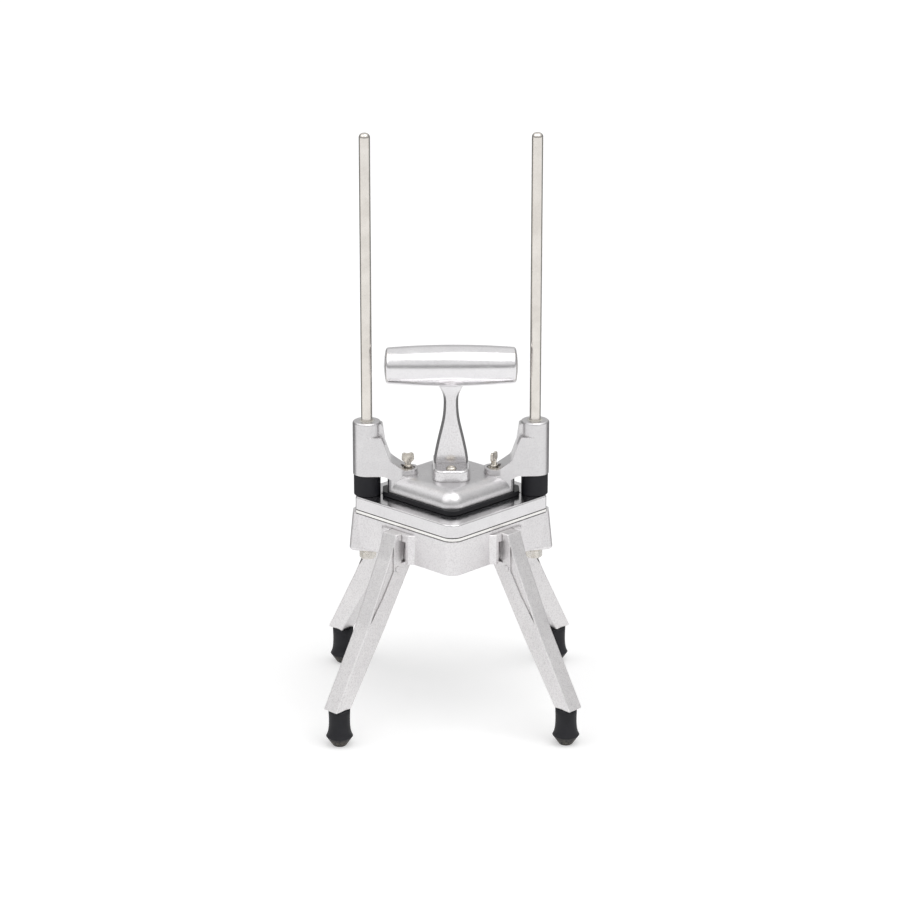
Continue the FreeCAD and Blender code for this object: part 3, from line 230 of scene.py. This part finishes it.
def math_node(tree, operation, a, b=0.0):
    node = tree.nodes.new("ShaderNodeMath")
    node.operation = operation
    connect(tree, a, node.inputs[0])
    connect(tree, b, node.inputs[1])
    return node.outputs["Value"]


def times(tree, a, b):
    return math_node(tree, "MULTIPLY", a, b)


def blend(tree, factor, a, b):
    """A plain number between a, where factor is 0, and b, where it is 1."""
    node = tree.nodes.new("ShaderNodeMix")
    tree.links.new(factor, node.inputs[0])
    connect(tree, a, node.inputs[2])
    connect(tree, b, node.inputs[3])
    return node.outputs[0]


def mix_color(tree, factor, a, b):
    """A colour between a, where factor is 0, and b, where it is 1."""
    node = tree.nodes.new("ShaderNodeMix")
    node.data_type = "RGBA"
    tree.links.new(factor, node.inputs[0])
    connect(tree, a, node.inputs[6])
    connect(tree, b, node.inputs[7])
    return node.outputs[2]


def bump(tree, height, strength, distance, normal):
    node = tree.nodes.new("ShaderNodeBump")
    node.inputs["Strength"].default_value = strength
    node.inputs["Distance"].default_value = distance
    tree.links.new(height, node.inputs["Height"])
    tree.links.new(normal, node.inputs["Normal"])
    return node.outputs["Normal"]


def creases(tree, reach):
    """A mask that is 1 deep in seams and corners, where castings are darkened with painted shade."""
    node = tree.nodes.new("ShaderNodeAmbientOcclusion")
    node.samples = MASK_SAMPLES
    node.inputs["Distance"].default_value = reach
    return rise(tree, node.outputs["AO"], *CREASE_RISE)


def soft_edges(tree, radius):
    """Normals that round every sharp edge off, and a mask that is 1 along those edges."""
    bevel = tree.nodes.new("ShaderNodeBevel")
    bevel.samples = MASK_SAMPLES
    bevel.inputs["Radius"].default_value = radius
    geometry = tree.nodes.new("ShaderNodeNewGeometry")
    dot = tree.nodes.new("ShaderNodeVectorMath")
    dot.operation = "DOT_PRODUCT"
    tree.links.new(bevel.outputs["Normal"], dot.inputs[0])
    tree.links.new(geometry.outputs["Normal"], dot.inputs[1])
    return bevel.outputs["Normal"], rise(tree, dot.outputs["Value"], *EDGE_RISE)


# Materials
def seam_shadow(tree, coords, height):
    """A mask for the painted shadow line along the blade plate, centred on a height."""
    x, y, z = axes(tree, coords)
    away = math_node(tree, "ABSOLUTE", math_node(tree, "SUBTRACT", z, height))
    band = rise(tree, away, SEAM_HEIGHT / 2, SEAM_HEIGHT / 3, SEAM_SHADOW_AMOUNT)
    sideways = math_node(tree, "ABSOLUTE", x)
    inside = rise(tree, sideways, PLATE_HIGH.x, PLATE_HIGH.x - SEAM_END_FADE)
    broken = remap(tree, noise(tree, coords, *SEAM_BREAK), *SEAM_BREAK_RISE)
    return times(tree, times(tree, band, inside), broken)


def cast_metal(name, color, dark, roughness, grain, edge_radius, stretch=(1, 1, 1), wave=0.00012,
               speckle=0.5, edge_dark_reflection=0.5, cast_below=None, seam=None):
    """Cast aluminium: cloudy tone, dark specks, fine grain, edges worn pale in some patches and painted
    with a dark reflection in the others, painted shade in corners.
    """
    tree, shader = new_material(name)
    coords = object_coords(tree)
    cloud = noise(tree, coords, *CLOUD)
    streak = noise(tree, object_coords(tree, stretch), *STREAK)
    normal, edge = soft_edges(tree, edge_radius)

    tone = math_node(tree, "ADD", times(tree, cloud, CLOUD_SHARE), times(tree, streak, 1 - CLOUD_SHARE))
    base = mix_color(tree, rise(tree, tone, *TONE_RISE), dark, color)
    specks = rise(tree, noise(tree, coords, *SPECK), *SPECK_RISE, speckle)
    base = mix_color(tree, specks, base, tuple(part * shade for part, shade in zip(dark, SPECK_SHADE)))
    # Edges: pale wear in some patches, and a painted dark reflection in the others
    dark_edge_share = rise(tree, noise(tree, coords, *EDGE_PATCH), *EDGE_PATCH_RISE, edge_dark_reflection)
    rim = mix_color(tree, dark_edge_share, color, EDGE_DARK_REFLECTION_COLOR)
    base = mix_color(tree, times(tree, edge, EDGE_WEAR_AND_DARK_REFLECTION), base, rim)
    rough = roughness_from(tree, streak, roughness, *STREAK_ROUGHNESS)
    rough = math_node(tree, "SUBTRACT", rough, times(tree, edge, EDGE_POLISH))
    if cast_below is not None:
        as_cast = rise(tree, axes(tree, coords)[2], cast_below, cast_below - AS_CAST_FADE)
        rough = math_node(tree, "ADD", rough, times(tree, as_cast, AS_CAST_ROUGHER))
        pits = times(tree, as_cast, remap(tree, specks, 0.0, speckle, *AS_CAST_PITS))
        base = mix_color(tree, pits, base, AS_CAST_PIT_COLOR)
    # Painted shadow: a dark line in the gap at the blade plate
    if seam is not None:
        base = mix_color(tree, seam_shadow(tree, coords, seam), base, SEAM_SHADOW_COLOR)
    # Painted shade: seams and corners are darkened where little light reaches
    crease_shade = times(tree, creases(tree, CAST_CREASE_SHADE_REACH), CAST_CREASE_SHADE_AMOUNT)
    base = mix_color(tree, crease_shade, base, CAST_CREASE_SHADE_COLOR)

    tree.links.new(base, shader.inputs["Base Color"])
    tree.links.new(rough, shader.inputs["Roughness"])
    shader.inputs["Metallic"].default_value = 1.0
    wavy = bump(tree, streak, WAVE_STRENGTH, wave, normal)
    grainy = bump(tree, noise(tree, coords, *CAST_GRAIN), grain, CAST_GRAIN_DEPTH, wavy)
    tree.links.new(grainy, shader.inputs["Normal"])


def turned_metal(name, color, dark, roughness, lines, edge_radius=0.0003, stain_scale=60.0):
    """Ground or drawn bar and sheet: fine lines along one direction and soft stains."""
    tree, shader = new_material(name)
    coords = object_coords(tree)
    stain = noise(tree, coords, stain_scale, STAIN_DETAIL, STAIN_ROUGHNESS)
    line = noise(tree, object_coords(tree, lines), *DRAWN_LINE)
    normal, edge = soft_edges(tree, edge_radius)
    base = mix_color(tree, rise(tree, stain, *STAIN_RISE), dark, color)
    base = mix_color(tree, times(tree, edge, DRAWN_EDGE_WEAR), base, color)
    tree.links.new(base, shader.inputs["Base Color"])
    rough = roughness_from(tree, line, roughness, *DRAWN_ROUGHNESS)
    tree.links.new(rough, shader.inputs["Roughness"])
    shader.inputs["Metallic"].default_value = 1.0
    tree.links.new(bump(tree, line, DRAWN_STRENGTH, DRAWN_DEPTH, normal), shader.inputs["Normal"])


def dull_polymer(name, color, pale, roughness, grain, edge_radius, dust_height=None):
    """Moulded rubber or plastic: faint cloud and mould grain, paler rubbed edges, dust near the floor."""
    tree, shader = new_material(name)
    coords = object_coords(tree)
    cloud = noise(tree, coords, *RUBBER_CLOUD)
    fine = noise(tree, coords, *MOULD_GRAIN)
    normal, edge = soft_edges(tree, edge_radius)
    base = mix_color(tree, remap(tree, cloud, *RUBBER_CLOUD_RISE), color, pale)
    base = mix_color(tree, times(tree, edge, RUBBER_EDGE_WEAR), base, pale)
    if dust_height is not None:
        low = rise(tree, axes(tree, coords)[2], dust_height, dust_height * DUST_SOLID_SHARE)
        dust = remap(tree, noise(tree, coords, *DUST), *DUST_RISE)
        base = mix_color(tree, times(tree, low, dust), base, DUST_COLOR)
    tree.links.new(base, shader.inputs["Base Color"])
    rough = roughness_from(tree, fine, roughness, *RUBBER_ROUGHNESS)
    tree.links.new(rough, shader.inputs["Roughness"])
    shader.inputs["Specular IOR Level"].default_value = RUBBER_SPECULAR
    tree.links.new(bump(tree, fine, grain, MOULD_GRAIN_DEPTH, normal), shader.inputs["Normal"])


# The edge share given to each casting sets its painted dark reflection along edges; seam places the
# painted shadow line
cast_metal("cast_aluminium", (0.91, 0.895, 0.90), (0.83, 0.815, 0.825), roughness=0.42, grain=0.45,
           edge_radius=0.0007, seam=PLATE_LOW.z - SEAM_HEIGHT / 2)
cast_metal("leg_aluminium", (0.90, 0.885, 0.885), (0.83, 0.815, 0.82), roughness=0.46, grain=0.45,
           edge_radius=0.0005, edge_dark_reflection=0.85)
cast_metal("handle_aluminium", (0.87, 0.86, 0.87), (0.79, 0.78, 0.795), roughness=0.20, grain=0.1,
           edge_radius=0.0006, stretch=(0.25, 1, 1), wave=0.00002, speckle=0.22, edge_dark_reflection=0.95,
           cast_below=0.300)
cast_metal("ground_aluminium", (0.80, 0.79, 0.80), (0.72, 0.71, 0.72), roughness=0.18, grain=0.03,
           edge_radius=0.0007, wave=0.00001, speckle=0.3, edge_dark_reflection=0.4,
           seam=PLATE_HIGH.z + SEAM_HEIGHT / 2)
cast_metal("polished_aluminium", (0.77, 0.76, 0.765), (0.68, 0.67, 0.68), roughness=0.32, grain=0.06,
           edge_radius=0.0006, wave=0.00002, speckle=0.3, edge_dark_reflection=0.3)
turned_metal("stainless_rod", (0.79, 0.755, 0.71), (0.70, 0.665, 0.62), roughness=0.20,
             lines=(0.6, 0.6, 6))
turned_metal("stainless_sheet", (0.92, 0.91, 0.89), (0.86, 0.85, 0.83), roughness=0.22,
             lines=(0.3, 0.3, 4), edge_radius=0.00012)
turned_metal("plated_hardware", (0.76, 0.72, 0.65), (0.40, 0.37, 0.33), roughness=0.27,
             lines=(1, 1, 1), stain_scale=210.0)
turned_metal("nut_steel", (0.90, 0.88, 0.84), (0.74, 0.70, 0.63), roughness=0.27,
             lines=(1, 1, 1), edge_radius=0.0004, stain_scale=150.0)
dull_polymer("black_rubber", (0.007, 0.007, 0.010), (0.016, 0.016, 0.021), roughness=0.5, grain=0.3,
             edge_radius=0.0004)
dull_polymer("foot_rubber", (0.012, 0.012, 0.015), (0.028, 0.028, 0.033), roughness=0.56, grain=0.4,
             edge_radius=0.0004, dust_height=0.009)
dull_polymer("black_plastic", (0.006, 0.006, 0.008), (0.015, 0.015, 0.019), roughness=0.34, grain=0.2,
             edge_radius=0.0005)
dull_polymer("bush_plastic", (0.62, 0.61, 0.57), (0.70, 0.69, 0.65), roughness=0.45, grain=0.2,
             edge_radius=0.0003)
turned_metal("brass_insert", (0.70, 0.55, 0.28), (0.55, 0.42, 0.2), roughness=0.32, lines=(1, 1, 4))


def look_of(node):
    """The material of a node: its slot's own, or a finish of its own where the photograph shows one."""
    if node == "upper_frame":
        return "ground_aluminium"
    if node.startswith("leg_") and SLOT_OF[node] == "cast_aluminium":
        return "leg_aluminium"
    if node.startswith("foot_"):
        return "foot_rubber"
    if node == "t_handle":
        return "handle_aluminium"
    if "nut" in node:
        return "nut_steel"
    return SLOT_OF[node]


for node, thing in NODES.items():
    thing.data.materials.clear()
    thing.data.materials.append(MATERIALS[look_of(node)])


# Rubber feet
def lathe(name, profile, centre, segments):
    """A closed turned piece from (radius, height) points in millimetres."""
    shape = bmesh.new()
    rings = []
    for radius, height in profile:
        ring = []
        for i in range(segments):
            angle = 2 * math.pi * i / segments
            ring.append(shape.verts.new((centre.x + radius * MILLIMETRE * math.cos(angle),
                                         centre.y + radius * MILLIMETRE * math.sin(angle),
                                         height * MILLIMETRE)))
        rings.append(ring)
    for low, high in zip(rings, rings[1:]):
        for i in range(segments):
            nxt = (i + 1) % segments
            face = shape.faces.new((low[i], low[nxt], high[nxt], high[i]))
            face.smooth = True
    shape.faces.new(list(reversed(rings[0])))
    shape.faces.new(rings[-1])
    mesh = bpy.data.meshes.new(name)
    shape.to_mesh(mesh)
    shape.free()
    piece = bpy.data.objects.new(name, mesh)
    bpy.context.scene.collection.objects.link(piece)
    return piece


for corner in FOOT_CORNERS:
    node = "foot_" + corner
    low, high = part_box(node)
    boot = lathe("boot_" + corner, FOOT_PROFILE, (low + high) / 2, FOOT_SEGMENTS)
    boot.data.materials.append(MATERIALS["foot_rubber"])
    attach(boot, "base")
    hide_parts(node)


# Floor, room, lamps and camera
def dark_cards(tree, x, y):
    """A mask that is 1 towards the two dark cards behind the cutter, which draw its rounded edges."""
    sideways = rise(tree, math_node(tree, "ABSOLUTE", x), *CARD_SIDE_X)
    return times(tree, sideways, rise(tree, y, *CARD_SIDE_Y))


def white_floor():
    """A matte floor, lifted to white for the camera, on which metal also sees the dark cards."""
    mesh = bpy.data.meshes.new("floor")
    half = FLOOR_HALF
    corners = [(-half, -half, 0), (half, -half, 0), (half, half, 0), (-half, half, 0)]
    mesh.from_pydata(corners, [], [(0, 1, 2, 3)])
    floor = bpy.data.objects.new("floor", mesh)
    bpy.context.scene.collection.objects.link(floor)
    material = bpy.data.materials.new("floor_white")
    material.use_nodes = True
    tree = material.node_tree
    tree.nodes.clear()
    output = tree.nodes.new("ShaderNodeOutputMaterial")
    matte = tree.nodes.new("ShaderNodeBsdfDiffuse")
    glow = tree.nodes.new("ShaderNodeEmission")
    path = tree.nodes.new("ShaderNodeLightPath")
    coords = tree.nodes.new("ShaderNodeTexCoord")
    outward = tree.nodes.new("ShaderNodeVectorMath")
    outward.operation = "NORMALIZE"
    distance = tree.nodes.new("ShaderNodeVectorMath")
    distance.operation = "LENGTH"
    for measure in (outward, distance):
        tree.links.new(coords.outputs["Object"], measure.inputs[0])
    x, y, z = axes(tree, outward.outputs["Vector"])
    far = rise(tree, distance.outputs["Value"], *CARD_DISTANCE)
    in_metal = path.outputs["Is Glossy Ray"]
    cards = times(tree, times(tree, dark_cards(tree, x, y), far), in_metal)
    tone = mix_color(tree, cards, (FLOOR_TONE,) * 3, (FLOOR_TONE_AT_CARD,) * 3)
    tree.links.new(tone, matte.inputs["Color"])
    direct = times(tree, path.outputs["Is Camera Ray"], FLOOR_LIFT)
    mirrored = times(tree, math_node(tree, "SUBTRACT", in_metal, cards), FLOOR_LIFT_IN_METAL)
    tree.links.new(math_node(tree, "ADD", direct, mirrored), glow.inputs["Strength"])
    both = tree.nodes.new("ShaderNodeAddShader")
    tree.links.new(matte.outputs[0], both.inputs[0])
    tree.links.new(glow.outputs[0], both.inputs[1])
    tree.links.new(both.outputs[0], output.inputs["Surface"])
    mesh.materials.append(material)


def seen_by_metal(tree):
    """The room as metal sees it: white above, grey along the horizon, two dark cards behind."""
    coords = tree.nodes.new("ShaderNodeTexCoord")
    x, y, z = axes(tree, coords.outputs["Generated"])
    front = blend(tree, rise(tree, z, *FRONT_TO_TOP_Z), SEEN_FRONT, SEEN_TOP)
    back = blend(tree, rise(tree, z, *BACK_TO_TOP_Z), SEEN_BACK, SEEN_TOP)
    level = blend(tree, rise(tree, y, *FRONT_TO_BACK_Y), front, back)
    cards = times(tree, dark_cards(tree, x, y), rise(tree, z, *CARD_TOP_Z))
    return blend(tree, cards, level, SEEN_CARD)


def soft_world():
    """White for the camera, a plain level for matte surfaces, and a studio room for metal."""
    world = bpy.data.worlds.new("studio")
    bpy.context.scene.world = world
    world.use_nodes = True
    tree = world.node_tree
    tree.nodes.clear()
    output = tree.nodes.new("ShaderNodeOutputWorld")
    path = tree.nodes.new("ShaderNodeLightPath")
    sky = tree.nodes.new("ShaderNodeBackground")
    shown = math_node(tree, "MAXIMUM", path.outputs["Is Camera Ray"], path.outputs["Is Transmission Ray"])
    level = blend(tree, path.outputs["Is Glossy Ray"], SKY_LEVEL, seen_by_metal(tree))
    tree.links.new(blend(tree, shown, level, 1.0), sky.inputs["Strength"])
    tree.links.new(sky.outputs[0], output.inputs["Surface"])


def soft_sun(name, place, spread, level):
    """A far lamp, wide enough for a soft shadow, that lights the whole floor alike."""
    light = bpy.data.lights.new(name, "SUN")
    light.angle = math.radians(spread)
    light.energy = level
    lamp = bpy.data.objects.new(name, light)
    bpy.context.scene.collection.objects.link(lamp)
    lamp.location = place
    lamp.rotation_euler = (-Vector(place)).to_track_quat("-Z", "Y").to_euler()


def camera():
    data = bpy.data.cameras.new("camera")
    data.lens = CAMERA_LENS
    data.sensor_width = CAMERA_SENSOR
    data.sensor_fit = "HORIZONTAL"
    data.clip_end = CAMERA_CLIP_END
    eye = bpy.data.objects.new("camera", data)
    bpy.context.scene.collection.objects.link(eye)
    eye.location = CAMERA_AT
    eye.rotation_euler = CAMERA_AIM.to_track_quat("-Z", "Y").to_euler()
    bpy.context.scene.camera = eye


white_floor()
soft_world()
for lamp in LAMPS:
    soft_sun(*lamp)
camera()

bpy.context.scene.view_settings.view_transform = "Standard"
